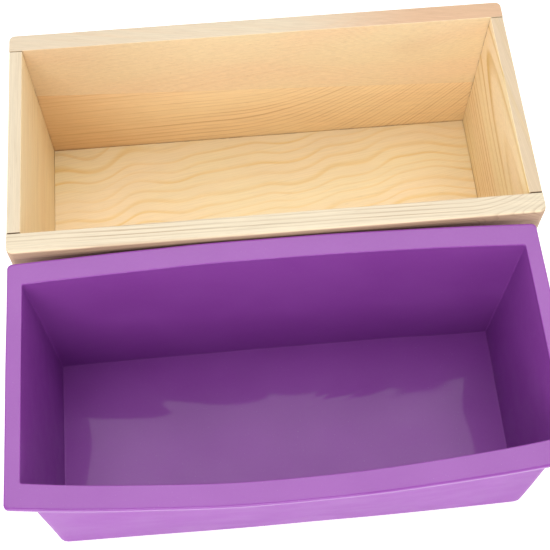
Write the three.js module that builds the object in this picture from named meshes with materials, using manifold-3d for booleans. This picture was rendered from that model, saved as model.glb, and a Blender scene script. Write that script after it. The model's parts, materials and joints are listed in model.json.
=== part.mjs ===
// Soap loaf mould: an open pine box and the loose silicone liner that drops into it, side by side.
// Millimetres, +Z up, +X along the mould, +Y from the liner towards the box.
// The origin is at the middle of the footprint, on the surface that both pieces stand on.

import * as THREE from 'three';
import { mergeVertices } from 'three/addons/utils/BufferGeometryUtils.js';
import Module from 'manifold-3d';

const wasm = await Module();
wasm.setup();

// Driving dimensions of the wooden box.
const BOX_LENGTH = 270;
const BOX_WIDTH = 134;
const BOX_HEIGHT = 106;
const SIDE_THICKNESS = 11;
const END_THICKNESS = 7;
const BOTTOM_THICKNESS = 6;
const CORNER_RADIUS = 3; // on the upright outer corners of the two long boards
const JOINT_GAP = 0.2; // hairline left open at every butt joint

// The far long board is two strips glued edge to edge. The glue line falls towards the right end.
const SEAM_HEIGHT = 55; // at the middle of the board
const SEAM_SLOPE = -0.07; // rise per millimetre of length
const GLUE_LINE = 0.1;

// Driving dimensions of the silicone liner. A bow is how far a long side stands out at its middle.
// The liner stands relaxed: its near side bellies out more, and its floor lies a little nearer.
const FLANGE_LENGTH = 264;
const FLANGE_WIDTH = 122.5;
const FLANGE_THICKNESS = 3;
const FLANGE_BOW = { near: 7.8, far: 3.5 };
const LINER_HEIGHT = 103;
const WALL_THICKNESS = 3;
const OPENING_LENGTH = 249;
const OPENING_WIDTH = 99;
const OPENING_BOW = { near: 8.5, far: 3.5 };
const FLOOR_LENGTH = 242;
const FLOOR_WIDTH = 96;
const FLOOR_BOW = { near: 1, far: 1 };
const FLOOR_SHIFT_Y = -2.5;
const INNER_CORNER_RADIUS = 1.5;
const FLANGE_CORNER_RADIUS = 2.5;

// Headed wire brads that hold the butt joints.
const BRAD_LENGTH = 20;
const BRAD_WIDTH = 1.25;
const BRAD_THICKNESS = 1;
const BRAD_HEAD_WIDTH = 2;
const BRAD_HEAD_LENGTH = 0.75;
const BRAD_TIP_LENGTH = 2;
const BRAD_SET_DEPTH = 0.5; // how far the head is driven below the face
const POCKET_GAP = 0.3; // room between a brad and the wood around it
const CORNER_BRAD_HEIGHTS = [20, 55, 90];
const SIDE_BRAD_PLACES = [-80, 0, 80]; // along X, into the bottom board
const END_BRAD_PLACES = [-30, 30]; // along Y, into the bottom board

// Where the two pieces stand: side by side, with a sliver of space between them.
const STANDING_GAP = 1;
const LINER_SHIFT_X = -3;
const LINER_DEPTH = FLANGE_WIDTH + FLANGE_BOW.near + FLANGE_BOW.far;
const FOOTPRINT_DEPTH = BOX_WIDTH + STANDING_GAP + LINER_DEPTH;
const BOX_CENTRE_Y = (FOOTPRINT_DEPTH - BOX_WIDTH) / 2;
const LINER_CENTRE_Y = FLANGE_BOW.near + (FLANGE_WIDTH - FOOTPRINT_DEPTH) / 2;

// How finely the curves are divided.
const CORNER_STEPS = 4;
const LINER_STEPS = 8;

const INNER_LENGTH = BOX_LENGTH - 2 * END_THICKNESS;
const INNER_WIDTH = BOX_WIDTH - 2 * SIDE_THICKNESS;

const paleWood = { color: 0xf0d6a6, roughness: 0.62, metalness: 0 };
const warmWood = { color: 0xe3b77c, roughness: 0.62, metalness: 0 };
const silicone = { color: 0x9a5cab, roughness: 0.38, metalness: 0 };
const steel = { color: 0xb4b6b8, roughness: 0.35, metalness: 1 };

function namedMesh(name, geometry, look) {
  const mesh = new THREE.Mesh(geometry, new THREE.MeshStandardMaterial(look));
  mesh.name = name;
  return mesh;
}

function solidOf(geometry) {
  const bare = geometry.clone();
  bare.deleteAttribute('normal');
  bare.deleteAttribute('uv');
  const merged = mergeVertices(bare, 1e-4);
  return new wasm.Manifold(new wasm.Mesh({
    numProp: 3,
    vertProperties: Float32Array.from(merged.attributes.position.array),
    triVerts: Uint32Array.from(merged.index.array),
  }));
}

function geometryOf(solid) {
  const mesh = solid.getMesh();
  const geometry = new THREE.BufferGeometry();
  geometry.setAttribute('position', new THREE.BufferAttribute(mesh.vertProperties, 3));
  geometry.setIndex(new THREE.BufferAttribute(mesh.triVerts, 1));
  geometry.computeVertexNormals();
  return geometry;
}

// A full-length board with its outer face towards -Y and that face's two upright corners rounded.
function longBoardGeometry() {
  const halfLength = BOX_LENGTH / 2;
  const halfThickness = SIDE_THICKNESS / 2;
  const arcX = halfLength - CORNER_RADIUS;
  const arcY = CORNER_RADIUS - halfThickness;
  const plan = new THREE.Shape();
  plan.moveTo(halfLength, halfThickness);
  plan.lineTo(-halfLength, halfThickness);
  plan.lineTo(-halfLength, arcY);
  plan.absarc(-arcX, arcY, CORNER_RADIUS, Math.PI, 1.5 * Math.PI, false);
  plan.absarc(arcX, arcY, CORNER_RADIUS, 1.5 * Math.PI, 2 * Math.PI, false);
  return new THREE.ExtrudeGeometry(plan, {
    depth: BOX_HEIGHT,
    bevelEnabled: false,
    curveSegments: CORNER_STEPS,
  });
}

// Everything on one side of the glue line, as a block wide enough to cut a whole board.
function halfSpaceAtSeam(side) {
  const reach = BOX_LENGTH;
  const start = SEAM_HEIGHT - side * GLUE_LINE / 2;
  const profile = new THREE.Shape();
  profile.moveTo(-reach, start - reach * SEAM_SLOPE);
  profile.lineTo(reach, start + reach * SEAM_SLOPE);
  profile.lineTo(reach, start + side * reach);
  profile.lineTo(-reach, start + side * reach);
  const block = new THREE.ExtrudeGeometry(profile, { depth: BOX_WIDTH, bevelEnabled: false });
  block.translate(0, 0, -BOX_WIDTH / 2);
  block.rotateX(Math.PI / 2);
  return block;
}

// One strip of the far long board: side 1 is above the glue line, side -1 is below it.
function backStripGeometry(side) {
  const board = longBoardGeometry();
  board.rotateZ(Math.PI);
  const unwanted = solidOf(halfSpaceAtSeam(-side));
  return geometryOf(solidOf(board).subtract(unwanted));
}

function blockGeometry(length, width, height) {
  const block = new THREE.BoxGeometry(length, width, height);
  block.translate(0, 0, height / 2);
  return block;
}

function makeBoards() {
  const sideY = (BOX_WIDTH - SIDE_THICKNESS) / 2;
  const endX = (BOX_LENGTH - END_THICKNESS) / 2;
  const endWidth = INNER_WIDTH - 2 * JOINT_GAP;

  const front = namedMesh('front_side_board', longBoardGeometry(), paleWood);
  front.position.y = -sideY;

  const upper = namedMesh('back_upper_strip', backStripGeometry(1), paleWood);
  const lower = namedMesh('back_lower_strip', backStripGeometry(-1), warmWood);
  upper.position.y = sideY;
  lower.position.y = sideY;

  const left = namedMesh('left_end_board', blockGeometry(END_THICKNESS, endWidth, BOX_HEIGHT), paleWood);
  const right = namedMesh('right_end_board', blockGeometry(END_THICKNESS, endWidth, BOX_HEIGHT), paleWood);
  left.position.x = -endX;
  right.position.x = endX;

  const bottomLength = INNER_LENGTH - 2 * JOINT_GAP;
  const bottom = namedMesh('bottom_board', blockGeometry(bottomLength, endWidth, BOTTOM_THICKNESS), warmWood);
  return [front, upper, lower, left, right, bottom];
}

// A brad lies along Y with its head at the origin, facing +Y, and its chisel tip towards -Y.
function bradGeometry() {
  const half = BRAD_WIDTH / 2;
  const headHalf = BRAD_HEAD_WIDTH / 2;
  const outline = new THREE.Shape();
  outline.moveTo(headHalf, 0);
  outline.lineTo(-headHalf, 0);
  outline.lineTo(-headHalf, -BRAD_HEAD_LENGTH);
  outline.lineTo(-half, -BRAD_HEAD_LENGTH);
  outline.lineTo(-half, BRAD_TIP_LENGTH - BRAD_LENGTH);
  outline.lineTo(0, -BRAD_LENGTH);
  outline.lineTo(half, BRAD_TIP_LENGTH - BRAD_LENGTH);
  outline.lineTo(half, -BRAD_HEAD_LENGTH);
  outline.lineTo(headHalf, -BRAD_HEAD_LENGTH);
  const brad = new THREE.ExtrudeGeometry(outline, { depth: BRAD_THICKNESS, bevelEnabled: false });
  brad.translate(0, 0, -BRAD_THICKNESS / 2);
  return brad;
}

// The room that one brad needs in the wood: its shank and head, with a gap all round, open at the face.
function bradPocketSolid() {
  const depth = BRAD_THICKNESS + 2 * POCKET_GAP;
  const shankLength = BRAD_LENGTH + POCKET_GAP;
  const headLength = BRAD_HEAD_LENGTH + POCKET_GAP + 2 * BRAD_SET_DEPTH;
  const shank = new THREE.BoxGeometry(BRAD_WIDTH + 2 * POCKET_GAP, shankLength, depth);
  shank.translate(0, -shankLength / 2, 0);
  const head = new THREE.BoxGeometry(BRAD_HEAD_WIDTH + 2 * POCKET_GAP, headLength, depth);
  head.translate(0, 2 * BRAD_SET_DEPTH - headLength / 2, 0);
  return solidOf(shank).add(solidOf(head));
}

// Places a brad with its head just below a face, driven straight in: turn is the head's turn about Z.
function placedBrad(name, x, y, z, turn) {
  const brad = namedMesh(name, bradGeometry(), steel);
  brad.position.set(x, y, z);
  brad.rotation.z = turn;
  return brad;
}

function makeBrads() {
  const faceY = BOX_WIDTH / 2 - BRAD_SET_DEPTH;
  const faceX = BOX_LENGTH / 2 - BRAD_SET_DEPTH;
  const cornerX = (BOX_LENGTH - END_THICKNESS) / 2;
  const bottomZ = BOTTOM_THICKNESS / 2;
  const longSides = [['front', -faceY, Math.PI], ['back', faceY, 0]];
  const shortEnds = [['left', -1, Math.PI / 2], ['right', 1, -Math.PI / 2]];
  const brads = [];
  for (const [sideName, y, turn] of longSides) {
    for (const [endName, direction] of shortEnds) {
      CORNER_BRAD_HEIGHTS.forEach((z, i) => {
        const name = `corner_brad_${sideName}_${endName}_${i + 1}`;
        brads.push(placedBrad(name, direction * cornerX, y, z, turn));
      });
    }
    SIDE_BRAD_PLACES.forEach((x, i) => {
      brads.push(placedBrad(`bottom_brad_${sideName}_${i + 1}`, x, y, bottomZ, turn));
    });
  }
  for (const [endName, direction, turn] of shortEnds) {
    END_BRAD_PLACES.forEach((y, i) => {
      brads.push(placedBrad(`bottom_brad_${endName}_${i + 1}`, direction * faceX, y, bottomZ, turn));
    });
  }
  return brads;
}

// Cuts the brads' pockets out of a board, in the board's own frame.
function cutPockets(board, brads) {
  const pocket = bradPocketSolid();
  board.updateMatrix();
  const toBoard = board.matrix.clone().invert();
  let solid = solidOf(board.geometry);
  for (const brad of brads) {
    brad.updateMatrix();
    const placement = toBoard.clone().multiply(brad.matrix);
    solid = solid.subtract(pocket.transform(placement.elements));
  }
  board.geometry = geometryOf(solid);
}

function makeBox() {
  const box = new THREE.Group();
  const brads = makeBrads();
  for (const board of makeBoards()) {
    cutPockets(board, brads);
    box.add(board);
  }
  box.add(...brads);
  return box;
}

// A rectangle with rounded corners whose two long sides stand out in shallow curves.
function bowedOutline(length, width, bow, radius) {
  const x = length / 2;
  const y = width / 2;
  const quarter = Math.PI / 2;
  const outline = new THREE.Shape();
  outline.moveTo(radius - x, -y);
  outline.quadraticCurveTo(0, -y - 2 * bow.near, x - radius, -y);
  outline.absarc(x - radius, radius - y, radius, -quarter, 0, false);
  outline.absarc(x - radius, y - radius, radius, 0, quarter, false);
  outline.quadraticCurveTo(0, y + 2 * bow.far, radius - x, y);
  outline.absarc(radius - x, y - radius, radius, quarter, 2 * quarter, false);
  outline.absarc(radius - x, radius - y, radius, 2 * quarter, 3 * quarter, false);
  return outline;
}

// A closed skin through a list of rings, with a flat cap at both ends. Each ring is an outline at a
// height, moved along Y by its shift.
function loftGeometry(rings) {
  const positions = [];
  const triangles = [];
  const loops = rings.map(({ outline, z, shift }) => {
    const points = outline.getPoints(LINER_STEPS);
    points.pop(); // the last point is the first one again
    return points.map((point) => positions.push(point.x, point.y + shift, z) / 3 - 1);
  });
  for (let level = 1; level < loops.length; level += 1) {
    const lower = loops[level - 1];
    const upper = loops[level];
    lower.forEach((corner, i) => {
      const next = (i + 1) % lower.length;
      triangles.push(corner, lower[next], upper[next]);
      triangles.push(corner, upper[next], upper[i]);
    });
  }
  const first = loops[0];
  const last = loops[loops.length - 1];
  const capCentre = ({ z, shift }) => positions.push(0, shift, z) / 3 - 1;
  const firstCentre = capCentre(rings[0]);
  const lastCentre = capCentre(rings[rings.length - 1]);
  first.forEach((corner, i) => {
    const next = (i + 1) % first.length;
    triangles.push(firstCentre, first[next], corner);
    triangles.push(lastCentre, last[i], last[next]);
  });
  const geometry = new THREE.BufferGeometry();
  geometry.setAttribute('position', new THREE.Float32BufferAttribute(positions, 3));
  geometry.setIndex(triangles);
  geometry.computeVertexNormals();
  return geometry;
}

// The liner's skin runs from its underside up the outer wall, round the flange and down to the floor.
function makeLiner() {
  const grow = 2 * WALL_THICKNESS;
  const outerRadius = INNER_CORNER_RADIUS + WALL_THICKNESS;
  const base = bowedOutline(FLOOR_LENGTH + grow, FLOOR_WIDTH + grow, FLOOR_BOW, outerRadius);
  const neck = bowedOutline(OPENING_LENGTH + grow, OPENING_WIDTH + grow, OPENING_BOW, outerRadius);
  const flange = bowedOutline(FLANGE_LENGTH, FLANGE_WIDTH, FLANGE_BOW, FLANGE_CORNER_RADIUS);
  const opening = bowedOutline(OPENING_LENGTH, OPENING_WIDTH, OPENING_BOW, INNER_CORNER_RADIUS);
  const floor = bowedOutline(FLOOR_LENGTH, FLOOR_WIDTH, FLOOR_BOW, INNER_CORNER_RADIUS);
  const flangeUnderside = LINER_HEIGHT - FLANGE_THICKNESS;
  const skin = loftGeometry([
    { outline: base, z: 0, shift: FLOOR_SHIFT_Y },
    { outline: neck, z: flangeUnderside, shift: 0 },
    { outline: flange, z: flangeUnderside, shift: 0 },
    { outline: flange, z: LINER_HEIGHT, shift: 0 },
    { outline: opening, z: LINER_HEIGHT, shift: 0 },
    { outline: floor, z: WALL_THICKNESS, shift: FLOOR_SHIFT_Y },
  ]);
  return namedMesh('silicone_liner', skin, silicone);
}

const box = makeBox();
box.position.y = BOX_CENTRE_Y;

const liner = makeLiner();
liner.position.set(LINER_SHIFT_X, LINER_CENTRE_Y, 0);

const mould = new THREE.Group();
mould.add(box, liner);

export default mould;
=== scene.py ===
# The looks of a soap loaf mould: a pine box and a purple silicone liner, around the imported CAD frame.
# Metres, in the frame of the CAD model. Shader coordinates are in millimetres.
import json
import math

import bmesh
import bpy
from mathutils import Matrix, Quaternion, Vector, noise


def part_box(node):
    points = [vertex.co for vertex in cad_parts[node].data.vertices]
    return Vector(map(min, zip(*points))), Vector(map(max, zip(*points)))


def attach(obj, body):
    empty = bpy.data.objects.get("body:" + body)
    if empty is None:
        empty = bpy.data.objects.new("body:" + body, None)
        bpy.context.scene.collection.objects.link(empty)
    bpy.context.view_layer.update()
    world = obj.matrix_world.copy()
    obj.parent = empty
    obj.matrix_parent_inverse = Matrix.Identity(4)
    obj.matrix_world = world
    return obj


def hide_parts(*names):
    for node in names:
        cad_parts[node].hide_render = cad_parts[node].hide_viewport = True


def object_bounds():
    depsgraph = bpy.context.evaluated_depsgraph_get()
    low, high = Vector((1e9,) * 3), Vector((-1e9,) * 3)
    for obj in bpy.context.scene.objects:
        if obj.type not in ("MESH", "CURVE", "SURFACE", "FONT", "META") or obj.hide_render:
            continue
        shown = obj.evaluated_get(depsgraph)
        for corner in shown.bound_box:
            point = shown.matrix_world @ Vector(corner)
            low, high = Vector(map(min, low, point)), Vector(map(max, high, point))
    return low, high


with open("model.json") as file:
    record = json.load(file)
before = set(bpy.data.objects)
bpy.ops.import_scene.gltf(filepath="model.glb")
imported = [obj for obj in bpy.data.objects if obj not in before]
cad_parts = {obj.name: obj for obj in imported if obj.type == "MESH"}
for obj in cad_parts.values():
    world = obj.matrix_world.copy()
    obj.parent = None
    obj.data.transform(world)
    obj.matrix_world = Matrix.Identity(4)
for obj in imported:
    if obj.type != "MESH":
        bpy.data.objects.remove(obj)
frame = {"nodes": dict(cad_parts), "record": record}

CAD_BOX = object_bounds()
MM = 0.001
NOISE_SEED = 4
noise.seed_set(NOISE_SEED)  # without a seed, noise_vector differs from run to run

BOX_NODES = frame["record"]["behaviour"]["bodies"]["box"]
BRAD_NODES = [name for name in BOX_NODES if "brad" in name]


# ---------------------------------------------------------------------------------------- shader graphs

# The spans of a noise, round its middle of 0.5, over which a pattern fades in.
WIDE = (0.25, 0.75)
MIDDLING = (0.3, 0.7)
NARROW = (0.35, 0.65)


class Graph:
    """One material's node tree, with a short method for each kind of node that the materials use."""

    def __init__(self, name):
        self.material = bpy.data.materials.new(name)
        self.material.use_nodes = True
        self.tree = self.material.node_tree
        self.tree.nodes.clear()

    def node(self, kind, inputs, **settings):
        made = self.tree.nodes.new(kind)
        for key, value in settings.items():
            setattr(made, key, value)
        for key, value in inputs.items():
            if isinstance(value, bpy.types.NodeSocket):
                self.tree.links.new(value, made.inputs[key])
            else:
                made.inputs[key].default_value = value
        return made

    def math(self, operation, first, second=0.0, third=0.0):
        inputs = {0: first, 1: second, 2: third}
        return self.node("ShaderNodeMath", inputs, operation=operation).outputs[0]

    def vector(self, operation, first, second=(0, 0, 0)):
        return self.node("ShaderNodeVectorMath", {0: first, 1: second}, operation=operation).outputs[0]

    def split(self, vector):
        return self.node("ShaderNodeSeparateXYZ", {0: vector}).outputs

    def join(self, x, y, z):
        return self.node("ShaderNodeCombineXYZ", {0: x, 1: y, 2: z}).outputs[0]

    def noise(self, vector, scale, detail=1.0, roughness=0.5, coloured=False):
        inputs = {"Vector": vector, "Scale": scale, "Detail": detail, "Roughness": roughness}
        made = self.node("ShaderNodeTexNoise", inputs)
        return made.outputs["Color" if coloured else "Fac"]

    def random(self, value):
        return self.node("ShaderNodeTexWhiteNoise", {"W": value}, noise_dimensions="1D").outputs["Value"]

    def remap(self, value, low, high, new_low=0.0, new_high=1.0):
        inputs = {"Value": value, "From Min": low, "From Max": high,
                  "To Min": new_low, "To Max": new_high}
        made = self.node("ShaderNodeMapRange", inputs, interpolation_type="SMOOTHSTEP")
        return made.outputs["Result"]

    def mix(self, factor, first, second, mode="MIX"):
        inputs = {"Factor": factor, 6: first, 7: second}
        made = self.node("ShaderNodeMix", inputs, data_type="RGBA", blend_type=mode)
        return made.outputs[2]

    def tint(self, colour, by):
        """A colour multiplied by another one."""
        return self.mix(1.0, colour, (*by, 1), "MULTIPLY")

    def brighten(self, colour, amount):
        """A colour multiplied by the same amount in every channel."""
        return self.mix(1.0, colour, self.join(amount, amount, amount), "MULTIPLY")

    def bump(self, height, distance, strength):
        inputs = {"Height": height, "Distance": distance, "Strength": strength}
        return self.node("ShaderNodeBump", inputs).outputs["Normal"]

    def place_mm(self, centre):
        """Object coordinates in millimetres from a centre given in metres."""
        place = self.node("ShaderNodeTexCoord", {}).outputs["Object"]
        return self.vector("MULTIPLY", self.vector("SUBTRACT", place, tuple(centre)), (1 / MM,) * 3)

    def facing_up(self):
        """1 on a face that looks straight up, 0 on an upright face and -1 on an underside."""
        return self.split(self.node("ShaderNodeNewGeometry", {}).outputs["Normal"])[2]

    def finish(self, **sockets):
        inputs = {key.replace("_", " "): value for key, value in sockets.items()}
        shader = self.node("ShaderNodeBsdfPrincipled", inputs)
        output = self.node("ShaderNodeOutputMaterial", {})
        self.tree.links.new(shader.outputs[0], output.inputs["Surface"])
        return self.material


# ---------------------------------------------------------------------------------------- pine

# How each pattern's coordinates are scaled along and across the grain.
WAVE_STRETCH = (0.35, 1, 1)
PATCH_STRETCH = (0.25, 1, 1)
FIBRE_STRETCH = (0.035, 1.9, 1.9)
CANAL_STRETCH = (0.11, 2.6, 2.6)

# Sizes of patterns, in mm, and their scales, per mm.
WAVE_SIZE = 30
TONE_SIZE = 40
PATCH_SIZE = 26
SPECK_SCALE = 3.5
BREAK_SCALE = 0.16

UNEVEN_RINGS = 1.3            # how many rings' width the unevenness of the rings may reach
FAINTEST_RING = 0.45          # the strength of the faintest ring's late wood
STRONGEST_PATCH = 1.1
FIBRE_DARKEST = 0.16          # at most, how much darker and lighter the fibres make the wood
FIBRE_LIGHTEST = 0.10
CANAL_SPAN = (0.74, 0.80)
CANAL_AMOUNT = 0.30
CANAL_BROWN = (0.36, 0.19, 0.08, 1)

# The share of each pattern in the height of the planed surface, and how deep that bump is.
FIBRE_RELIEF = 0.55
SPECK_RELIEF = 0.18
LATE_RELIEF = 0.22
CANAL_RELIEF = 0.25
WOOD_BUMP = 0.30 * MM
WOOD_BUMP_STRENGTH = 0.45
EARLY_ROUGHNESS = 0.70
LATE_ROUGHNESS = 0.52

SWIRL_REACH = 4               # the rings bend round a knot this many of its radii away
SWIRL_DEPTH = 2.2             # and by this many of its radii at its middle
KNOT_CORE = (0.45, 1.25)      # the brown core fades out between these shares of its radius
KNOT_BROWN = (0.33, 0.15, 0.07, 1)

STAIN_INSET = 0.35            # the stain begins this many mm inside a board's edge
STAIN_FADE = (-0.15, 0.10)    # and darkens over these mm, before and after that line
STAIN_BREAKS = (0.46, 0.58)
STAIN_FAINTEST = 0.05
STAIN_BROWN = (0.10, 0.045, 0.015, 1)

UPRIGHT_SPAN = (0.3, 0.7)     # a face stops counting as upright between these values of facing_up
PLANED_SPAN = (0.6, 0.95)     # and starts to count as a planed edge that looks up between these
SKIN_DEPTHS = (2.5, 1.5)      # the painted shade of the outer faces fades in between these depths, in mm
SHADE_AT_LEFT_SPAN = (-120.0, -20.0)  # mm along a board from its centre, over which the painted shade at its -X end fades out
EDGE_END_SPAN = (10.0, 95.0)


def grain_place(graph, place, along, turn):
    """Turns coordinates so that X runs along the grain; turn is the grain's pitch and yaw in degrees."""
    quarter = -90 if along == "Y" else 0
    angles = (0, math.radians(turn[0]), math.radians(turn[1] + quarter))
    inputs = {"Vector": place, "Rotation": angles}
    return graph.node("ShaderNodeMapping", inputs, vector_type="POINT").outputs[0]


def box_corners():
    """The lowest and the highest corner of the whole wooden box."""
    corners = [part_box(name) for name in BOX_NODES]
    low = Vector([min(corner[0][i] for corner in corners) for i in range(3)])
    high = Vector([max(corner[1][i] for corner in corners) for i in range(3)])
    return low, high


def outer_shade_mask(graph, facing):
    """1 on the upright outer faces of the box, where shade is painted, and 0 inside it and on its rim."""
    low, high = box_corners()
    half = (high - low) / 2 / MM
    from_middle = graph.vector("ABSOLUTE", graph.place_mm((low + high) / 2))
    along, across, _ = graph.split(from_middle)
    deep, shallow = SKIN_DEPTHS
    past_end = graph.remap(along, half.x - deep, half.x - shallow)
    past_side = graph.remap(across, half.y - deep, half.y - shallow)
    upright = graph.remap(facing, *UPRIGHT_SPAN, 1.0, 0.0)
    return graph.math("MULTIPLY", graph.math("MAXIMUM", past_end, past_side), upright)


def growth_radius(graph, place, pith, wave, sway, bend, crowd):
    """How far a point lies from the pith line, in mm, with the log's irregularities added."""
    waves = graph.noise(graph.vector("MULTIPLY", place, WAVE_STRETCH), 1 / WAVE_SIZE, 1.5, coloured=True)
    centred = graph.vector("SUBTRACT", waves, (0.5, 0.5, 0.5))
    shift = graph.vector("MULTIPLY", centred, (0, 4 * wave, 4 * wave))
    run, across, rise = graph.split(graph.vector("ADD", place, shift))
    across = graph.math("SUBTRACT", across, pith[0])
    rise = graph.math("SUBTRACT", rise, pith[1])
    square_across = graph.math("MULTIPLY", across, across)
    square_rise = graph.math("MULTIPLY", rise, rise)
    radius = graph.math("SQRT", graph.math("ADD", square_across, square_rise))
    if sway:
        amplitude, wavelength = sway
        wander = graph.noise(graph.join(run, 0.0, 0.0), 1 / wavelength, 1.0)
        radius = graph.math("ADD", radius, graph.remap(wander, *WIDE, -amplitude, amplitude))
    if bend:
        start, curve = bend
        past = graph.math("MAXIMUM", graph.math("SUBTRACT", run, start), 0.0)
        sweep = graph.math("MULTIPLY", graph.math("MULTIPLY", past, past), curve)
        radius = graph.math("ADD", radius, sweep)
    if crowd:
        closer = graph.math("MULTIPLY", graph.math("MULTIPLY", radius, radius), crowd)
        radius = graph.math("ADD", radius, closer)
    return radius


def knot_marks(graph, place, knot):
    """How far a knot pushes the rings out, in mm, and where its brown core is."""
    *middle, size = knot
    from_knot = graph.vector("SUBTRACT", place, middle)
    reach = graph.node("ShaderNodeVectorMath", {0: from_knot}, operation="LENGTH").outputs["Value"]
    swirl = graph.remap(reach, 0.0, SWIRL_REACH * size, SWIRL_DEPTH * size, 0.0)
    core = graph.remap(reach, KNOT_CORE[0] * size, KNOT_CORE[1] * size, 1.0, 0.0)
    return swirl, core


def late_wood(graph, place, radius, ring, line_from, line_to, patchy):
    """Where the late wood of each ring lies, and how strongly it shows there."""
    count = graph.math("DIVIDE", radius, ring)
    uneven = graph.noise(graph.join(count, 0.0, 0.0), 0.45)
    count = graph.math("ADD", count, graph.math("MULTIPLY", uneven, UNEVEN_RINGS))
    part = graph.math("FRACT", count)
    growing = graph.remap(part, line_from, line_to)
    ending = graph.remap(part, line_to, 1.0, 1.0, 0.0)
    late = graph.math("MULTIPLY", growing, ending)
    ring_number = graph.math("FLOOR", count)
    ring_strength = graph.remap(graph.random(ring_number), 0.0, 1.0, FAINTEST_RING, 1.0)
    patch = graph.noise(graph.vector("MULTIPLY", place, PATCH_STRETCH), 1 / PATCH_SIZE, 2.0)
    patch_strength = graph.remap(patch, *NARROW, patchy, STRONGEST_PATCH)
    strength = graph.math("MULTIPLY", ring_strength, patch_strength)
    return late, graph.math("MULTIPLY", late, strength)


def joint_stain(graph, board_place, colour, stain):
    """The broken dark line along a joint, at the edge of a board."""
    distance, darkness = stain
    board_y = graph.math("ABSOLUTE", graph.split(board_place)[1])
    at_joint = graph.remap(board_y, distance + STAIN_FADE[0], distance + STAIN_FADE[1])
    broken = graph.noise(graph.vector("MULTIPLY", board_place, (1, 0, 1)), BREAK_SCALE, 2.0, 0.6)
    dark = graph.math("MULTIPLY", at_joint, graph.remap(broken, *STAIN_BREAKS, STAIN_FAINTEST, darkness))
    return graph.mix(dark, colour, STAIN_BROWN)


def wood_relief(graph, place, fibres, late, canal):
    """The height of the planed surface: fibres, specks, proud late wood and sunken canals."""
    specks = graph.noise(place, SPECK_SCALE, 2.0, 0.6)
    relief = graph.math("MULTIPLY", fibres, FIBRE_RELIEF)
    relief = graph.math("ADD", relief, graph.math("MULTIPLY", specks, SPECK_RELIEF))
    relief = graph.math("ADD", relief, graph.math("MULTIPLY", late, LATE_RELIEF))
    return graph.math("SUBTRACT", relief, graph.math("MULTIPLY", canal, CANAL_RELIEF))


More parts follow.
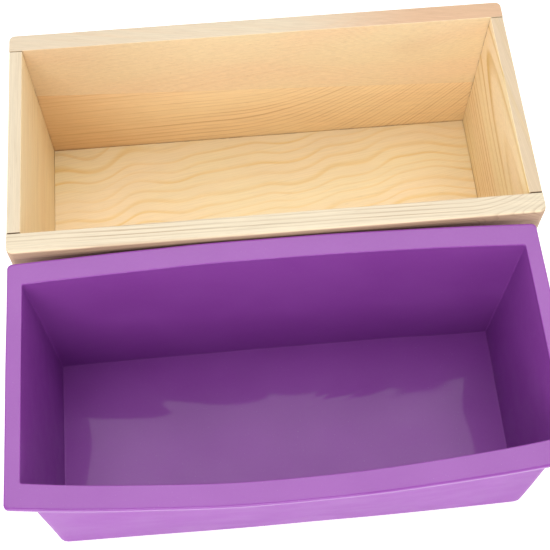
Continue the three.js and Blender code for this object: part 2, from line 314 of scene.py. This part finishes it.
def pine(name, centre, turn, pith, ring, wave, early, blush, along="X", sway=None, bend=None,
         late=(0.62, 0.36, 0.14), line=0.6, line_from=0.45, line_to=0.93, edge_line=1.0, crowd=0.0,
         patchy=0.6, fibre=0.5, knot=None, knot_shade=0.8, stain=None, edge=(0.66, 0.56, 0.42),
         edge_end=None, edge_amount=0.85, outside=(0.68, 0.67, 0.66), shade_at_left=None):
    """Pine cut from a log: growth rings round a pith line, waved, with fibres and resin canals.

    pith is the pith line's place across the board and its height, from the board's centre, in mm.
    ring is the ring width and wave the waviness in mm. early and blush are the two tones of the pale
    early wood, and late is the colour of the late wood. sway = (amplitude, wavelength) wanders every
    ring together along the grain. bend = (start, curve) sweeps the rings aside past start mm along
    the grain. line is how strongly the late wood shows, between line_from and line_to of each ring.
    patchy is the share of that which is left in the faintest patches, and edge_line the share on the
    planed edge. crowd is how much closer the rings lie for each mm away from the pith.
    knot = (along, across, height, radius) in mm in grain coordinates, darkened by knot_shade.
    stain = (distance, darkness) is where the joint's dark edge begins, in mm from the centre along Y.
    edge is the colour of the planed edge that faces up, mixed in by edge_amount, and edge_end is its
    colour at the +X end. outside multiplies in a painted shade on the upright outer faces of the box,
    and heart multiplies in a painted shade that darkens the board towards its -X end.
    """
    graph = Graph(name)
    board_place = graph.place_mm(centre)
    board_x = graph.split(board_place)[0]
    place = grain_place(graph, board_place, along, turn)
    radius = growth_radius(graph, place, pith, wave, sway, bend, crowd)
    if knot:
        swirl, knot_core = knot_marks(graph, place, knot)
        radius = graph.math("ADD", radius, swirl)
    late_place, late_amount = late_wood(graph, place, radius, ring, line_from, line_to, patchy)
    facing = graph.facing_up()
    line_strength = graph.remap(facing, *PLANED_SPAN, line, line * edge_line)
    late_amount = graph.math("MULTIPLY", late_amount, line_strength)

    tone = graph.noise(graph.vector("MULTIPLY", place, WAVE_STRETCH), 1 / TONE_SIZE, 2.0)
    colour = graph.mix(graph.remap(tone, *NARROW), (*early, 1), (*blush, 1))
    if shade_at_left:
        # painted shade: the board's colour gets darker towards its -X end, where less light falls
        colour = graph.mix(graph.remap(board_x, *SHADE_AT_LEFT_SPAN), graph.tint(colour, shade_at_left), colour)
    edge_colour = (*edge, 1)
    if edge_end:
        edge_colour = graph.mix(graph.remap(board_x, *EDGE_END_SPAN), edge_colour, (*edge_end, 1))
    colour = graph.mix(graph.remap(facing, *PLANED_SPAN, 0.0, edge_amount), colour, edge_colour)
    colour = graph.mix(late_amount, colour, (*late, 1))

    fibres = graph.noise(graph.vector("MULTIPLY", place, FIBRE_STRETCH), 1.0, 3.0, 0.65)
    fibre_shade = graph.remap(fibres, *WIDE, 1 - FIBRE_DARKEST * fibre, 1 + FIBRE_LIGHTEST * fibre)
    colour = graph.brighten(colour, fibre_shade)
    canals = graph.noise(graph.vector("MULTIPLY", place, CANAL_STRETCH), 1.0, 0.0)
    canal = graph.remap(canals, *CANAL_SPAN)
    colour = graph.mix(graph.math("MULTIPLY", canal, CANAL_AMOUNT * fibre), colour, CANAL_BROWN)
    # painted shade: the upright outer faces are darkened by the outside tint, standing in for the shade
    # they lie in
    colour = graph.mix(outer_shade_mask(graph, facing), colour, graph.tint(colour, outside))
    if knot:
        colour = graph.mix(graph.math("MULTIPLY", knot_core, knot_shade), colour, KNOT_BROWN)
    if stain:
        colour = joint_stain(graph, board_place, colour, stain)

    relief = wood_relief(graph, place, fibres, late_place, canal)
    density = graph.math("ADD", fibres, late_amount)
    rough = graph.remap(density, 0.2, 1.2, EARLY_ROUGHNESS, LATE_ROUGHNESS)
    return graph.finish(Base_Color=colour, Roughness=rough, IOR=1.45, Specular_IOR_Level=0.35,
                        Normal=graph.bump(relief, WOOD_BUMP, WOOD_BUMP_STRENGTH))


# ---------------------------------------------------------------------------------------- silicone, steel

# Sizes of patterns, in mm, and their scales, per mm.
CLOUD_SIZE = 38
MOTTLE_SIZE = 2
SMEAR_SIZE = 18
DUST_SCALE = 1.9
SKIN_SCALE = 0.9
SKIN_BUMP = 0.03 * MM
PURPLE_DARK = (0.266, 0.056, 0.346, 1)
PURPLE_LIGHT = (0.283, 0.064, 0.366, 1)
PURPLE_MOTTLE = (0.31, 0.10, 0.39, 1)
PURPLE_DUST = (0.50, 0.34, 0.57, 1)
MOTTLE_SPAN = (0.35, 0.75)
MOTTLE_AMOUNT = 0.08
DUST_SPAN = (0.82, 0.86)
DUST_AMOUNT = 0.25
# painted light: the share by which the colour of the liner's floor is brightened, standing in for the
# light that falls on it
FLOOR_PAINTED_LIGHT = 0.16
FLOOR_GLOSS = 0.42
FLANGE_GLOSS = 0.8
FLANGE_START = 1              # the flange's gloss is complete this many mm above its underside
FLANGE_FADE = 0.4             # and fades in over this many mm
FLAT_SPAN = (0.985, 0.998)    # a face starts to count as flat between these values of facing_up
UNDERSIDE_SPAN = (-0.35, -0.1)

STEEL_BRIGHT = (0.62, 0.61, 0.60, 1)
STEEL_DULL = (0.44, 0.42, 0.40, 1)
SCRATCH_BUMP = 0.05 * MM


def silicone(name, centre, flange_height):
    """Purple silicone rubber: satin walls, a gloss on the floor and the flange, and painted light that
    brightens the floor's colour. Heights in mm.
    """
    graph = Graph(name)
    place = graph.place_mm(centre)
    cloud = graph.noise(place, 1 / CLOUD_SIZE, 2.0)
    colour = graph.mix(graph.remap(cloud, *MIDDLING), PURPLE_DARK, PURPLE_LIGHT)
    mottle = graph.noise(place, 1 / MOTTLE_SIZE, 3.0, 0.6)
    colour = graph.mix(graph.remap(mottle, *MOTTLE_SPAN, 0.0, MOTTLE_AMOUNT), colour, PURPLE_MOTTLE)
    dust = graph.noise(place, DUST_SCALE, 0.0)
    colour = graph.mix(graph.remap(dust, *DUST_SPAN, 0.0, DUST_AMOUNT), colour, PURPLE_DUST)
    smear = graph.noise(graph.vector("MULTIPLY", place, (0.5, 1, 1)), 1 / SMEAR_SIZE, 3.0, 0.6)
    rough = graph.remap(smear, *MIDDLING, 0.38, 0.46)

    facing = graph.facing_up()
    flat = graph.remap(facing, *FLAT_SPAN)
    at_flange = graph.remap(graph.split(place)[2], flange_height - FLANGE_FADE, flange_height)
    on_floor = graph.math("MULTIPLY", flat, graph.math("SUBTRACT", 1.0, at_flange))
    # painted light: the colour of the floor is brightened
    colour = graph.brighten(colour, graph.math("MULTIPLY_ADD", on_floor, FLOOR_PAINTED_LIGHT, 1.0))
    on_flange = graph.math("MULTIPLY", at_flange, graph.remap(facing, *UNDERSIDE_SPAN))
    floor_gloss = graph.math("MULTIPLY", on_floor, FLOOR_GLOSS)
    flange_gloss = graph.math("MULTIPLY", on_flange, FLANGE_GLOSS)
    skin = graph.noise(place, SKIN_SCALE, 2.0)
    return graph.finish(Base_Color=colour, Roughness=rough, Specular_IOR_Level=0.2,
                        Coat_Weight=graph.math("MAXIMUM", floor_gloss, flange_gloss),
                        Coat_Roughness=0.06, Coat_IOR=1.4, Subsurface_Weight=0.10,
                        Subsurface_Radius=(1.0, 0.35, 1.0), Subsurface_Scale=0.003,
                        Normal=graph.bump(skin, SKIN_BUMP, 0.5))


def bright_wire(name):
    """Drawn steel wire with fine lengthwise scratches and a little dulling."""
    graph = Graph(name)
    place = graph.place_mm((0, 0, 0))
    scratches = graph.noise(graph.vector("MULTIPLY", place, (6, 0.8, 6)), 1.0, 3.0, 0.7)
    dull = graph.noise(place, 0.8, 2.0)
    colour = graph.mix(graph.remap(dull, *MIDDLING), STEEL_BRIGHT, STEEL_DULL)
    rough = graph.remap(scratches, *MIDDLING, 0.28, 0.48)
    return graph.finish(Base_Color=colour, Roughness=rough, Metallic=1.0,
                        Normal=graph.bump(scratches, SCRATCH_BUMP, 0.4))


# ---------------------------------------------------------------------------------------- mesh helpers

def new_piece(name, points, faces, material):
    mesh = bpy.data.meshes.new(name)
    mesh.from_pydata(points, [], faces)
    outside = bmesh.new()
    outside.from_mesh(mesh)
    bmesh.ops.recalc_face_normals(outside, faces=outside.faces)
    outside.to_mesh(mesh)
    outside.free()
    mesh.materials.append(material)
    piece = bpy.data.objects.new(name, mesh)
    bpy.context.scene.collection.objects.link(piece)
    return piece


def bridge(loops):
    """Faces between closed loops of point numbers that all have the same length."""
    faces = []
    for lower, upper in zip(loops, loops[1:]):
        for i, corner in enumerate(lower):
            j = (i + 1) % len(lower)
            faces.append((corner, lower[j], upper[j], upper[i]))
    return faces


def spread(start, end, step):
    """Evenly spaced values from start to end, both included, no further apart than step."""
    count = max(1, math.ceil(abs(end - start) / step))
    return [start + (end - start) * i / count for i in range(count + 1)]


# ---------------------------------------------------------------------------------------- boards

EASED_EDGE = 0.5 * MM
JOINT_EDGE = 0.12 * MM
CORNER_ROUND = 3.0 * MM
LONG_RIM_ROUND = 2.2 * MM
END_RIM_ROUND = 1.2 * MM
WORN_NEAR = 0.5 * MM
WORN_FAR = 0.1 * MM
WEAR_SCALE = 90  # this and the other scales of a shape's noise are per metre
PLANING = 0.06 * MM
PLANING_SCALE = 22
POCKET_GAP = 0.3 * MM
ARC_STEPS = 5
FACE_STEP = 6 * MM
SHARP_ANGLE = math.radians(50)

CUBE_CORNERS = [(0, 0, 0), (1, 0, 0), (1, 1, 0), (0, 1, 0), (0, 0, 1), (1, 0, 1), (1, 1, 1), (0, 1, 1)]
CUBE_FACES = [(0, 3, 2, 1), (4, 5, 6, 7), (0, 1, 5, 4), (1, 2, 6, 5), (2, 3, 7, 6), (3, 0, 4, 7)]


def arc_recess(depth, radius):
    """How far a rounded edge stands back from the face at a depth from its end."""
    if depth >= radius:
        return 0.0
    return radius - math.sqrt(max(0.0, radius * radius - (radius - depth) ** 2))


def rounded_section(width, height, radii):
    """A rectangle from (0, 0) to (width, height), with corner radii anticlockwise from (width, 0)."""
    corners = ((width, 0, -90), (width, height, 0), (0, height, 90), (0, 0, 180))
    arcs = []
    for (v, w, first), radius in zip(corners, radii):
        middle_v = v - radius if v else radius
        middle_w = w - radius if w else radius
        angles = [math.radians(first + 90 * i / ARC_STEPS) for i in range(ARC_STEPS + 1)]
        arcs.append([(middle_v + radius * math.cos(a), middle_w + radius * math.sin(a)) for a in angles])
    points = []
    for arc, following in zip(arcs, arcs[1:] + arcs[:1]):
        points.extend(arc)
        start, end = Vector(arc[-1]), Vector(following[0])
        shares = spread(0.0, 1.0, FACE_STEP / (end - start).length)[1:-1]
        points.extend(tuple(start.lerp(end, share)) for share in shares)
    return points


def stations(length, radii):
    """Places along a board: close together over its rounded ends and evenly spread between them."""
    angles = [math.radians(90 * i / ARC_STEPS) for i in range(ARC_STEPS + 1)]
    near = sorted({radius * (1 - math.cos(angle)) for radius in radii for angle in angles})
    between = spread(near[-1], length - near[-1], FACE_STEP)[1:-1]
    return near + between + [length - place for place in reversed(near)]


def board(name, node, material, along="X", outward=1, end_edge=EASED_EDGE, corner_round=0.0,
          top_round=EASED_EDGE, glued_bottom=None, glued_top=None, worn_ends=(0.0, 0.0)):
    """Makes a board in place of its CAD node. u runs along it, v from its inner to its outer face.

    outward is the side of the outer face. The ends are eased by end_edge, the upright outer corners
    rounded by corner_round and the outer top edge by top_round. glued_bottom and glued_top give the
    height of a sloping glued edge. worn_ends is how far the start and the end of the board stand back
    here and there, which leaves an uneven hairline at the joint.
    """
    low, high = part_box(node)
    u_axis, v_axis = (0, 1) if along == "X" else (1, 0)
    length, width, height = high[u_axis] - low[u_axis], high[v_axis] - low[v_axis], high.z - low.z
    inner = low[v_axis] if outward > 0 else high[v_axis]
    bottom_radius = JOINT_EDGE if glued_bottom else EASED_EDGE
    radii = (bottom_radius, JOINT_EDGE if glued_top else top_round,
             JOINT_EDGE if glued_top else EASED_EDGE, bottom_radius)
    section = rounded_section(width, height, radii)
    points = []
    loops = []
    for place in stations(length, [end_edge] + ([corner_round] if corner_round else [])):
        depth = min(place, length - place)
        ease = arc_recess(depth, end_edge)
        outer_ease = max(ease, arc_recess(depth, corner_round))
        u = low[u_axis] + place
        floor = glued_bottom(u) if glued_bottom else low.z + ease
        ceiling = glued_top(u) if glued_top else high.z - ease
        worn_end = worn_ends[0] if place == depth else worn_ends[1]
        worst_wear = worn_end * max(0.0, 1 - depth / FACE_STEP)
        loop = []
        for v, w in section:
            point = Vector((0, 0, floor + (ceiling - floor) * w / height))
            point[u_axis] = u
            point[v_axis] = inner + outward * (ease + (width - ease - outer_ease) * v / width)
            worn = worst_wear * abs(noise.noise(point * WEAR_SCALE))
            point[u_axis] += math.copysign(worn, length / 2 - place)
            loop.append(len(points))
            points.append(point + noise.noise_vector(point * PLANING_SCALE) * PLANING)
        loops.append(loop)
    piece = new_piece(name, points, bridge(loops) + [loops[0], loops[-1]], material)
    cut_pockets(piece, low, high)
    piece.data.shade_smooth()
    piece.data.set_sharp_from_angle(angle=SHARP_ANGLE)
    even = piece.modifiers.new("even_faces", "WEIGHTED_NORMAL")
    even.keep_sharp = True
    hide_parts(node)
    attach(piece, "box")
    return piece


def pocket_corners(brad):
    """The room round a brad, open past the face that the brad was driven through."""
    low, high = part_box(brad)
    box_low, box_high = box_corners()
    driven = max((0, 1), key=lambda i: high[i] - low[i])
    room = Vector((POCKET_GAP, POCKET_GAP, POCKET_GAP))
    low, high = low - room, high + room
    if low[driven] + high[driven] > box_low[driven] + box_high[driven]:
        high[driven] = box_high[driven] + CORNER_ROUND
    else:
        low[driven] = box_low[driven] - CORNER_ROUND
    return low, high


def cut_pockets(piece, low, high):
    """Cuts the room for every brad that reaches into a board that lies between two corners."""
    points = []
    faces = []
    for brad in BRAD_NODES:
        ends = pocket_corners(brad)
        if any(ends[0][i] > high[i] or ends[1][i] < low[i] for i in range(3)):
            continue
        faces.extend(tuple(len(points) + corner for corner in face) for face in CUBE_FACES)
        points.extend((ends[i][0], ends[j][1], ends[k][2]) for i, j, k in CUBE_CORNERS)
    cutter = new_piece(piece.name + "_cutter", points, faces, piece.data.materials[0])
    cut = piece.modifiers.new("pockets", "BOOLEAN")
    cut.object = cutter
    cut.operation = "DIFFERENCE"
    cut.solver = "EXACT"
    graph = bpy.context.evaluated_depsgraph_get()
    mesh = bpy.data.meshes.new_from_object(piece.evaluated_get(graph))
    piece.modifiers.clear()
    piece.data = mesh
    bpy.data.objects.remove(cutter)


def centre_of(node):
    low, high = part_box(node)
    return (low + high) / 2


def seam_height(x):
    """The glue line falls in a straight line from the top of the lower strip to the foot of the upper."""
    lower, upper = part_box("back_lower_strip"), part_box("back_upper_strip")
    share = (x - lower[0].x) / (lower[1].x - lower[0].x)
    return lower[1].z + (upper[0].z - lower[1].z) * share


def make_boards():
    low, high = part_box("bottom_board")
    joint = (high.y - low.y) / 2 / MM - STAIN_INSET

    # painted shade: the front board's outer face gets a darker, pinker tint, standing in for the shade
    # the liner casts on it
    front_look = pine("pine_front", centre_of("front_side_board"), turn=(0.5, 0.3), pith=(40, 12),
                      ring=1.55, wave=0.45, bend=(96, 0.006), knot=(112, -4, 32, 5.5),
                      line=0.72, line_from=0.5, patchy=0.35, fibre=0.6,
                      early=(0.92, 0.77, 0.51), blush=(0.92, 0.73, 0.49), late=(0.36, 0.23, 0.13),
                      edge=(0.70, 0.61, 0.46), outside=(0.54, 0.45, 0.44))
    board("front_board", "front_side_board", front_look, outward=-1,
          corner_round=CORNER_ROUND, top_round=LONG_RIM_ROUND)

    # painted shade: heart darkens the upper back strip towards its left (-X) end
    upper_look = pine("pine_back_upper", centre_of("back_upper_strip"), turn=(2, 8), pith=(30, -40),
                      ring=2.6, wave=1.2, knot=(88, -4, 6, 15), knot_shade=0.08,
                      line=0.20, line_from=0.3, patchy=0.3,
                      early=(0.87, 0.71, 0.46), blush=(0.88, 0.67, 0.44), late=(0.72, 0.45, 0.24),
                      edge_end=(0.62, 0.38, 0.24), shade_at_left=(0.89, 0.82, 0.78))
    board("back_board_upper", "back_upper_strip", upper_look,
          corner_round=CORNER_ROUND, top_round=LONG_RIM_ROUND, glued_bottom=seam_height)

    # painted shade: heart darkens the lower back strip towards its left (-X) end
    lower_look = pine("pine_back_lower", centre_of("back_lower_strip"), turn=(1.5, 1), pith=(6, -52),
                      ring=3.6, wave=0.9, bend=(-20, -0.0045),
                      line=0.58, line_from=0.6, patchy=0.35,
                      early=(0.95, 0.74, 0.45), blush=(0.95, 0.71, 0.43), late=(0.54, 0.29, 0.11),
                      shade_at_left=(0.83, 0.73, 0.65))
    board("back_board_lower", "back_lower_strip", lower_look,
          corner_round=CORNER_ROUND, glued_top=seam_height)

    left_look = pine("pine_left", centre_of("left_end_board"), turn=(0, 0.5), pith=(40, -10),
                     along="Y", ring=3.6, wave=1.2, stain=(joint, 0.9),
                     line=0.16, line_from=0.2, fibre=0.55,
                     early=(0.92, 0.78, 0.52), blush=(0.92, 0.75, 0.49))
    board("left_end", "left_end_board", left_look, along="Y", outward=-1,
          end_edge=JOINT_EDGE, top_round=END_RIM_ROUND, worn_ends=(WORN_NEAR, WORN_FAR))

    right_look = pine("pine_right", centre_of("right_end_board"), turn=(1, -8), pith=(18.5, 33),
                      along="Y", ring=14.0, wave=1.1, crowd=0.02, stain=(joint, 0.95),
                      line=0.9, line_from=0.5, line_to=0.85, edge_line=0.25, patchy=0.5,
                      early=(0.97, 0.83, 0.55), blush=(0.97, 0.78, 0.54), late=(0.71, 0.48, 0.15),
                      edge=(0.59, 0.45, 0.31))
    board("right_end", "right_end_board", right_look, along="Y",
          end_edge=JOINT_EDGE, top_round=END_RIM_ROUND, worn_ends=(WORN_NEAR, WORN_FAR))

    bottom_look = pine("pine_bottom", centre_of("bottom_board"), turn=(0.5, -9), pith=(140, -150),
                       ring=4.1, wave=2.0, sway=(4.5, 60), stain=(joint, 0.5),
                       line=0.80, line_from=0.53, line_to=0.86, patchy=0.35, fibre=0.35,
                       early=(0.99, 0.86, 0.57), blush=(0.99, 0.83, 0.57), late=(0.90, 0.64, 0.21),
                       edge_amount=0.0)
    board("bottom", "bottom_board", bottom_look, end_edge=JOINT_EDGE)


def finish_brads():
    wire = bright_wire("bright_wire")
    for name in BRAD_NODES:
        materials = frame["nodes"][name].data.materials
        materials.clear()
        materials.append(wire)


# ---------------------------------------------------------------------------------------- the liner

# Each ring of the liner is (length, width, near bow, far bow, corner radius, shift along Y, height) in
# mm, the same as in its CAD solid. A bow is how far a long side stands out at its middle.
LINER_BASE = Vector((248, 102, 1, 1, 4.5, -2.5, 0))
LINER_NECK = Vector((255, 105, 8.5, 3.5, 4.5, 0, 100))
FLANGE_UNDERSIDE = Vector((264, 122.5, 7.8, 3.5, 2.5, 0, 100))
FLANGE_TOP = Vector((264, 122.5, 7.8, 3.5, 2.5, 0, 103))
LINER_OPENING = Vector((249, 99, 8.5, 3.5, 0.8, 0, 103))
LINER_FLOOR = Vector((242, 96, 1, 1, 0.8, -2.5, 3))
BASE_MIDDLE = Vector((4, 2, 0, 0, 0.5, -2.5, 0))
FLOOR_MIDDLE = Vector((4, 2, 0, 0, 0.5, -2.5, 3))
EASES = (2.5, 1.2, 0.8, 1.2, 0.7, 0.35)  # how far each ring between the first and the last is rounded
EASE_STEPS = 5
RING_STEP = 5.0
LONG_PARTS = 64
SHORT_PARTS = 26
CORNER_PARTS = 4
SWELL = 0.35 * MM
SWELL_SCALE = 20
RIPPLE = 1.1 * MM
RIPPLE_SCALE = 24
BASE_MARGIN = 1  # the outer walls are wider than the base less this, and the inner walls are narrower


def ring_gap(first, second):
    """The distance between two rings, measured across the wall at the middle of a long side."""
    return math.hypot((first[1] - second[1]) / 2, first[-1] - second[-1])


def straight_rings(start, end):
    count = max(1, math.ceil(ring_gap(start, end) / RING_STEP))
    return [start.lerp(end, i / count) for i in range(1, count)]


def eased_rings(corners, eases):
    """Rings from the first corner of the profile to the last, with each corner between them rounded."""
    rings = [corners[0]]
    for before, corner, after, ease in zip(corners, corners[1:], corners[2:], eases):
        start = corner.lerp(before, ease / ring_gap(corner, before))
        end = corner.lerp(after, ease / ring_gap(corner, after))
        rings.extend(straight_rings(rings[-1], start))
        for step in range(EASE_STEPS + 1):
            share = step / EASE_STEPS
            rings.append(start.lerp(corner, share).lerp(corner.lerp(end, share), share))
    rings.extend(straight_rings(rings[-1], corners[-1]))
    rings.append(corners[-1])
    return rings


def ring_outline(length, width, near_bow, far_bow, radius):
    """Points in mm: straight short sides, long sides that bow outwards, and rounded corners."""
    flat_x = length / 2 - radius
    flat_y = width / 2 - radius
    points = []
    for side, bow in ((-1, near_bow), (1, far_bow)):
        for part in range(LONG_PARTS):
            share = 1 - 2 * part / LONG_PARTS
            points.append((side * flat_x * share, side * (width / 2 + bow * (1 - share * share))))
        points.extend(corner_arc(-side * flat_x, side * flat_y, radius, 90 * side))
        for part in range(1, SHORT_PARTS):
            points.append((-side * length / 2, side * flat_y * (1 - 2 * part / SHORT_PARTS)))
        points.extend(corner_arc(-side * flat_x, -side * flat_y, radius, 90 * side + 90)[:-1])
    return points


def corner_arc(x, y, radius, first):
    angles = [math.radians(first + 90 * i / CORNER_PARTS) for i in range(CORNER_PARTS + 1)]
    return [(x + radius * math.cos(angle), y + radius * math.sin(angle)) for angle in angles]


def floor_share(width, height):
    """1 for a ring of the liner's floor, fading to 0 on the inner walls just above it."""
    if width > LINER_BASE[1] - BASE_MARGIN:
        return 0.0
    return max(0.0, 1 - abs(height - LINER_FLOOR[-1]) / LINER_FLOOR[-1])


def make_liner():
    """One closed skin: underside, outer walls, flange, inner walls and floor, gently uneven."""
    low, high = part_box("silicone_liner")
    flange_height = FLANGE_UNDERSIDE[-1] + FLANGE_START - (high.z + low.z) / 2 / MM
    look = silicone("silicone", (low + high) / 2, flange_height)
    centre_x = (low.x + high.x) / 2
    straight_y = (low.y + high.y + (FLANGE_TOP[2] - FLANGE_TOP[3]) * MM) / 2
    profile = (BASE_MIDDLE, LINER_BASE, LINER_NECK, FLANGE_UNDERSIDE, FLANGE_TOP, LINER_OPENING,
               LINER_FLOOR, FLOOR_MIDDLE)
    points = []
    loops = []
    for *shape, shift, height in eased_rings(profile, EASES):
        ripple_share = floor_share(shape[1], height)
        loop = []
        for x, y in ring_outline(*shape):
            point = Vector((centre_x + x * MM, straight_y + (y + shift) * MM, height * MM))
            swell = noise.noise_vector(point * SWELL_SCALE) * SWELL
            swell.z = abs(swell.z) + ripple_share * RIPPLE * abs(noise.noise(point * RIPPLE_SCALE))
            loop.append(len(points))
            points.append(point + swell)
        loops.append(loop)
    piece = new_piece("liner", points, bridge(loops) + [loops[0], loops[-1]], look)
    piece.data.shade_smooth()
    piece.modifiers.new("even_faces", "WEIGHTED_NORMAL")
    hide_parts("silicone_liner")
    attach(piece, "liner")


# ---------------------------------------------------------------------------------------- the studio

CAMERA_AZIMUTH = math.radians(-5.45)
CAMERA_ELEVATION = math.radians(63.97)
CAMERA_ROLL = math.radians(0.286)
CAMERA_DISTANCE = 0.616
CAMERA_AIM = Vector((-0.0011, 0.0093, -0.0133))  # from the middle of the CAD box
CAMERA_LENS = 72.9
SENSOR_WIDTH = 36
NEAREST_SEEN = 0.01

# The lights' places are from the middle of the CAD box. Their radiance is how bright their faces are.
OVERHEAD_PLACE = Vector((0.05, 0.33, 1.15))
OVERHEAD_SIZE = (1.15, 0.65)
OVERHEAD_RADIANCE = 3.05
FRONT_PLACE = Vector((-0.25, -1.05, 0.86))
FRONT_SIZE = (0.9, 0.65)
FRONT_RADIANCE = 4.8

# The sky is brightest at the horizon and fades to its darkest at this height of the view direction.
HORIZON = 1.40
ZENITH = 0.42
FADE_HEIGHT = 0.8

FLOOR_REACH = 3.0
FLOOR_GLOW = 0.5
FLOOR_ROUGHNESS = 0.8
PALE_GREY = (0.90, 0.90, 0.90, 1)
WHITE = (1, 1, 1, 1)


def box_middle():
    low, high = (Vector(corner) for corner in CAD_BOX)
    return (low + high) / 2


def make_camera():
    data = bpy.data.cameras.new("camera")
    data.lens = CAMERA_LENS
    data.sensor_width = SENSOR_WIDTH
    data.clip_start = NEAREST_SEEN
    camera = bpy.data.objects.new("camera", data)
    bpy.context.scene.collection.objects.link(camera)
    across = math.cos(CAMERA_ELEVATION)
    back = Vector((across * math.sin(CAMERA_AZIMUTH), -across * math.cos(CAMERA_AZIMUTH),
                   math.sin(CAMERA_ELEVATION)))
    camera.location = box_middle() + CAMERA_AIM + back * CAMERA_DISTANCE
    camera.rotation_mode = "QUATERNION"
    camera.rotation_quaternion = back.to_track_quat("Z", "Y") @ Quaternion((0, 0, 1), CAMERA_ROLL)
    bpy.context.scene.camera = camera


def soft_light(name, place, size, radiance):
    """A rectangular soft light that shines at the middle of the CAD box."""
    data = bpy.data.lights.new(name, "AREA")
    data.shape = "RECTANGLE"
    data.size, data.size_y = size
    data.energy = radiance * size[0] * size[1] * math.pi
    light = bpy.data.objects.new(name, data)
    bpy.context.scene.collection.objects.link(light)
    light.location = box_middle() + place
    light.rotation_mode = "QUATERNION"
    light.rotation_quaternion = place.to_track_quat("Z", "Y")


def make_floor():
    mesh = bpy.data.meshes.new("floor")
    corners = [(-1, -1), (1, -1), (1, 1), (-1, 1)]
    points = [(x * FLOOR_REACH, y * FLOOR_REACH, 0) for x, y in corners]
    mesh.from_pydata(points, [], [(0, 1, 2, 3)])
    look = Graph("pale_floor").finish(Base_Color=PALE_GREY, Roughness=FLOOR_ROUGHNESS,
                                      Emission_Color=WHITE, Emission_Strength=FLOOR_GLOW)
    mesh.materials.append(look)
    floor = bpy.data.objects.new("floor", mesh)
    bpy.context.scene.collection.objects.link(floor)


def make_sky():
    sky = bpy.data.worlds.new("studio")
    sky.use_nodes = True
    tree = sky.node_tree
    direction = tree.nodes.new("ShaderNodeTexCoord").outputs["Generated"]
    height = tree.nodes.new("ShaderNodeSeparateXYZ")
    fade = tree.nodes.new("ShaderNodeMapRange")
    fade.inputs["From Max"].default_value = FADE_HEIGHT
    fade.inputs["To Min"].default_value = HORIZON
    fade.inputs["To Max"].default_value = ZENITH
    tree.links.new(direction, height.inputs[0])
    tree.links.new(height.outputs[2], fade.inputs["Value"])
    tree.links.new(fade.outputs["Result"], tree.nodes["Background"].inputs["Strength"])
    tree.nodes["Background"].inputs["Color"].default_value = WHITE
    bpy.context.scene.world = sky


def make_studio():
    make_floor()
    soft_light("overhead", OVERHEAD_PLACE, OVERHEAD_SIZE, OVERHEAD_RADIANCE)
    soft_light("front", FRONT_PLACE, FRONT_SIZE, FRONT_RADIANCE)
    make_sky()
    bpy.context.scene.view_settings.view_transform = "Standard"


make_boards()
finish_brads()
make_liner()
make_camera()
make_studio()
